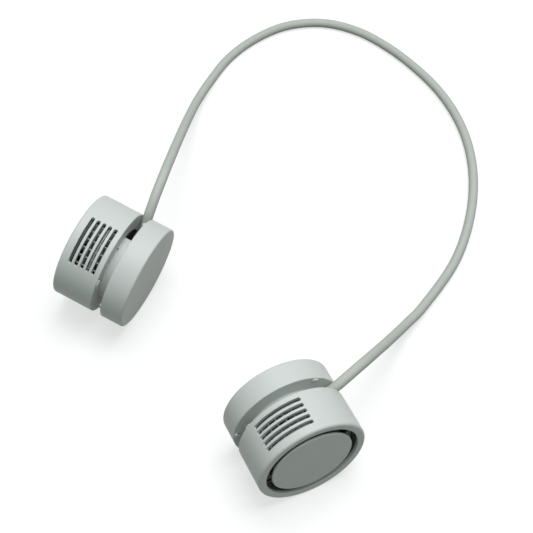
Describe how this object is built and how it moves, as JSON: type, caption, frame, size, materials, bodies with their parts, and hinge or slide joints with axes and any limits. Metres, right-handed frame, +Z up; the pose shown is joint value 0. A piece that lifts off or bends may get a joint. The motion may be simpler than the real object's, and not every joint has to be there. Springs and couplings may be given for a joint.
{
  "type": "electric neck fan",
  "caption": "Neck fan with a round blower pod at each end of a long round cord, which winds into a groove behind each pod's slotted drum.",
  "frame": {"origin": "on the ground, under the middle of the box around the two pods", "axes": "+Z up, the cord's loop runs out towards +Y, and +X to the right as seen from the front"},
  "size_m": [0.2456, 0.3612, 0.0669],
  "materials": {
    "shell": "satin",
    "throat": "matte",
    "wheel": "matte",
    "steel": "brushed",
    "core": "matte",
    "board": "gloss",
    "bronze": "satin",
    "grommet": "matte",
    "cell": "satin",
    "button": "satin",
    "switch": "matte",
    "light_pipe": "gloss",
    "cord": "matte"
  },
  "bodies": {
    "pods_and_cord": {"left_fan_case": "shell", "left_inlet_collar": "throat", "left_front_disc": "shell", "left_disc_spider": "throat", "left_motor_stator": "core", "left_motor_board": "board", "left_bearing": "bronze", "left_fan_back": "shell", "left_spool_hub": "shell", "left_cord_grommet": "grommet", "left_spool_wall": "shell", "left_back_cover": "shell", "left_battery": "cell", "left_control_board": "board", "left_case_screws": "steel", "right_fan_case": "shell", "right_inlet_collar": "throat", "right_front_disc": "shell", "right_disc_spider": "throat", "right_motor_stator": "core", "right_motor_board": "board", "right_bearing": "bronze", "right_fan_back": "shell", "right_spool_hub": "shell", "right_cord_grommet": "grommet", "right_spool_wall": "shell", "right_back_cover": "shell", "right_battery": "cell", "right_control_board": "board", "right_case_screws": "steel", "right_power_switch": "switch", "right_charge_socket": "steel", "right_light_pipe": "light_pipe", "neck_cord": "cord"},
    "left_wheel": {"left_impeller": "wheel", "left_motor_rotor": "steel"},
    "right_wheel": {"right_impeller": "wheel", "right_motor_rotor": "steel"},
    "power_button": {"right_power_button": "button"}
  },
  "joints": [
    {"name": "left_wheel_spin", "type": "hinge", "parent": "pods_and_cord", "child": "left_wheel", "pos_m": [-0.0582, 0.0542, 0.03516], "axis": [-0.8818, 0.4282, 0.1977], "continuous": true},
    {"name": "right_wheel_spin", "type": "hinge", "parent": "pods_and_cord", "child": "right_wheel", "pos_m": [0.05118, -0.062, 0.03], "axis": [0.436, -0.8999, 0], "continuous": true},
    {"name": "power_button_press", "type": "slide", "parent": "pods_and_cord", "child": "power_button", "axis": [0.436, -0.8999, 0], "range_m": [0, 0.0006], "stiffness_N_per_m": 500}
  ]
}
